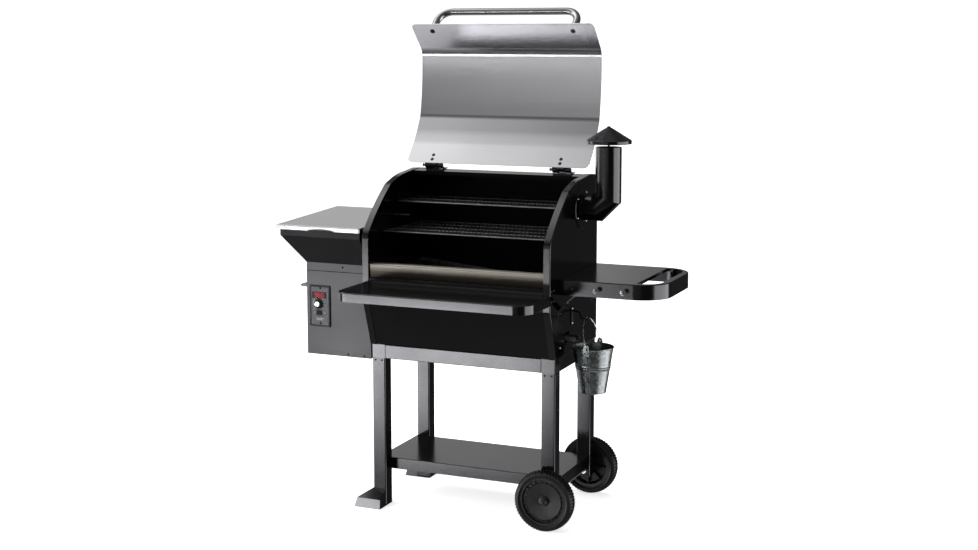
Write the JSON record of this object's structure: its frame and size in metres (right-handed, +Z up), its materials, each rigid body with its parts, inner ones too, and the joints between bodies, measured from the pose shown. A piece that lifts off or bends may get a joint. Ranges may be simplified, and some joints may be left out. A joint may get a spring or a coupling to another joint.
{
  "type": "pellet smoker grill",
  "caption": "Wood-pellet smoker grill on a wheeled cart: bent-sheet cooking chamber with a hinged lid, side hopper, chimney, shelves and a hanging grease bucket.",
  "frame": {"origin": "on the ground under the middle of the footprint, measured with the lid open", "axes": "+X towards the chimney and side shelf, +Y towards the back, +Z up; the cook stands at -Y"},
  "size_m": [1.353, 0.708, 1.7021],
  "materials": {
    "black_coat": "gloss black heat-resistant powder coat",
    "satin_coat": "satin black powder coat",
    "brushed_steel": "stainless steel, brushed lengthwise",
    "polished_steel": "polished stainless steel tube",
    "galvanised": "hot-dip galvanised, with spangle",
    "wire": "porcelain-coated steel wire",
    "raw_steel": "bare steel, dull",
    "black_plastic": "moulded black plastic",
    "tyre_rubber": "black moulded rubber tread",
    "display_red": "dark red display window"
  },
  "bodies": {
    "root": {"front_left_leg": "satin_coat", "front_right_leg": "satin_coat", "rear_left_leg": "satin_coat", "rear_right_leg": "satin_coat", "left_side_rail": "satin_coat", "right_side_rail": "satin_coat", "front_rail": "satin_coat", "rear_rail": "satin_coat", "lower_shelf": "satin_coat", "hopper_casing": "satin_coat", "control_panel": "satin_coat", "front_left_foot": "black_coat", "rear_left_foot": "black_coat", "left_end_panel": "black_coat", "right_end_panel": "black_coat", "barrel_front_sheet": "black_coat", "barrel_rear_sheet": "black_coat", "hopper_bin": "black_coat", "hopper_lid_hinge": "black_coat", "side_handle": "black_coat", "left_hinge_base": "black_coat", "right_hinge_base": "black_coat", "front_shelf": "black_coat", "side_shelf": "black_coat", "front_shelf_brace": "black_coat", "rear_shelf_brace": "black_coat", "chimney_pipe": "black_coat", "front_fascia": "brushed_steel", "cooking_grate": "wire", "upper_rack": "wire", "bucket_hook": "wire", "wheel_axle": "raw_steel", "drip_tray": "raw_steel", "heat_baffle": "raw_steel", "fire_pot": "raw_steel", "igniter_rod": "raw_steel", "temperature_probe": "raw_steel", "auger_tube": "raw_steel", "auger_motor": "raw_steel", "fan_housing": "raw_steel", "grease_spout": "raw_steel", "left_hinge_pin": "raw_steel", "right_hinge_pin": "raw_steel", "display_window": "display_red"},
    "lid": {"main_lid": "brushed_steel", "lid_handle": "polished_steel", "left_hinge_leaf": "black_coat", "right_hinge_leaf": "black_coat"},
    "hopper_lid": {"hopper_lid": "brushed_steel"},
    "front_wheel": {"front_wheel": "black_plastic", "front_tyre": "tyre_rubber"},
    "rear_wheel": {"rear_wheel": "black_plastic", "rear_tyre": "tyre_rubber"},
    "auger": {"auger_screw": "raw_steel"},
    "fan": {"fan_impeller": "raw_steel"},
    "knob": {"control_knob": "black_plastic"},
    "switch": {"power_switch": "black_plastic"},
    "chimney_cap": {"chimney_cap": "black_coat"},
    "bail": {"bucket_bail": "galvanised"},
    "bucket": {"grease_bucket": "galvanised"}
  },
  "joints": [
    {"name": "lid_hinge", "type": "hinge", "parent": "root", "child": "lid", "pos_m": [-0.0115, 0.20348, 1.15404], "axis": [1, 0, 0], "range_deg": [0, 136]},
    {"name": "hopper_lid_hinge", "type": "hinge", "parent": "root", "child": "hopper_lid", "pos_m": [-0.5155, 0.2775, 0.973], "axis": [-1, 0, 0], "range_deg": [0, 100]},
    {"name": "front_wheel_spin", "type": "hinge", "parent": "root", "child": "front_wheel", "pos_m": [0.297, -0.099, 0.101], "axis": [0, 1, 0], "continuous": true},
    {"name": "rear_wheel_spin", "type": "hinge", "parent": "root", "child": "rear_wheel", "pos_m": [0.297, 0.302, 0.101], "axis": [0, 1, 0], "continuous": true},
    {"name": "auger_spin", "type": "hinge", "parent": "root", "child": "auger", "pos_m": [-0.546, 0.074, 0.66], "axis": [1, 0, 0], "continuous": true},
    {"name": "fan_spin", "type": "hinge", "parent": "root", "child": "fan", "pos_m": [-0.4615, 0.139, 0.602], "axis": [0, 1, 0], "continuous": true},
    {"name": "knob_turn", "type": "hinge", "parent": "root", "child": "knob", "pos_m": [-0.5482, -0.1003, 0.6887], "axis": [0, 1, 0], "range_deg": [0, 270]},
    {"name": "switch_rock", "type": "hinge", "parent": "root", "child": "switch", "pos_m": [-0.5462, -0.0995, 0.6575], "axis": [1, 0, 0], "range_deg": [0, 13]},
    {"name": "cap_height", "type": "slide", "parent": "root", "child": "chimney_cap", "axis": [0, 0, 1], "range_m": [0, 0.03]},
    {"name": "bail_swing", "type": "hinge", "parent": "root", "child": "bail", "pos_m": [0.3834, 0.027, 0.688], "axis": [1, 0, 0], "range_deg": [-12, 12]},
    {"name": "bucket_tilt", "type": "hinge", "parent": "bail", "child": "bucket", "pos_m": [0.4075, 0.027, 0.6], "axis": [0, 1, 0], "range_deg": [-25, 8]}
  ]
}
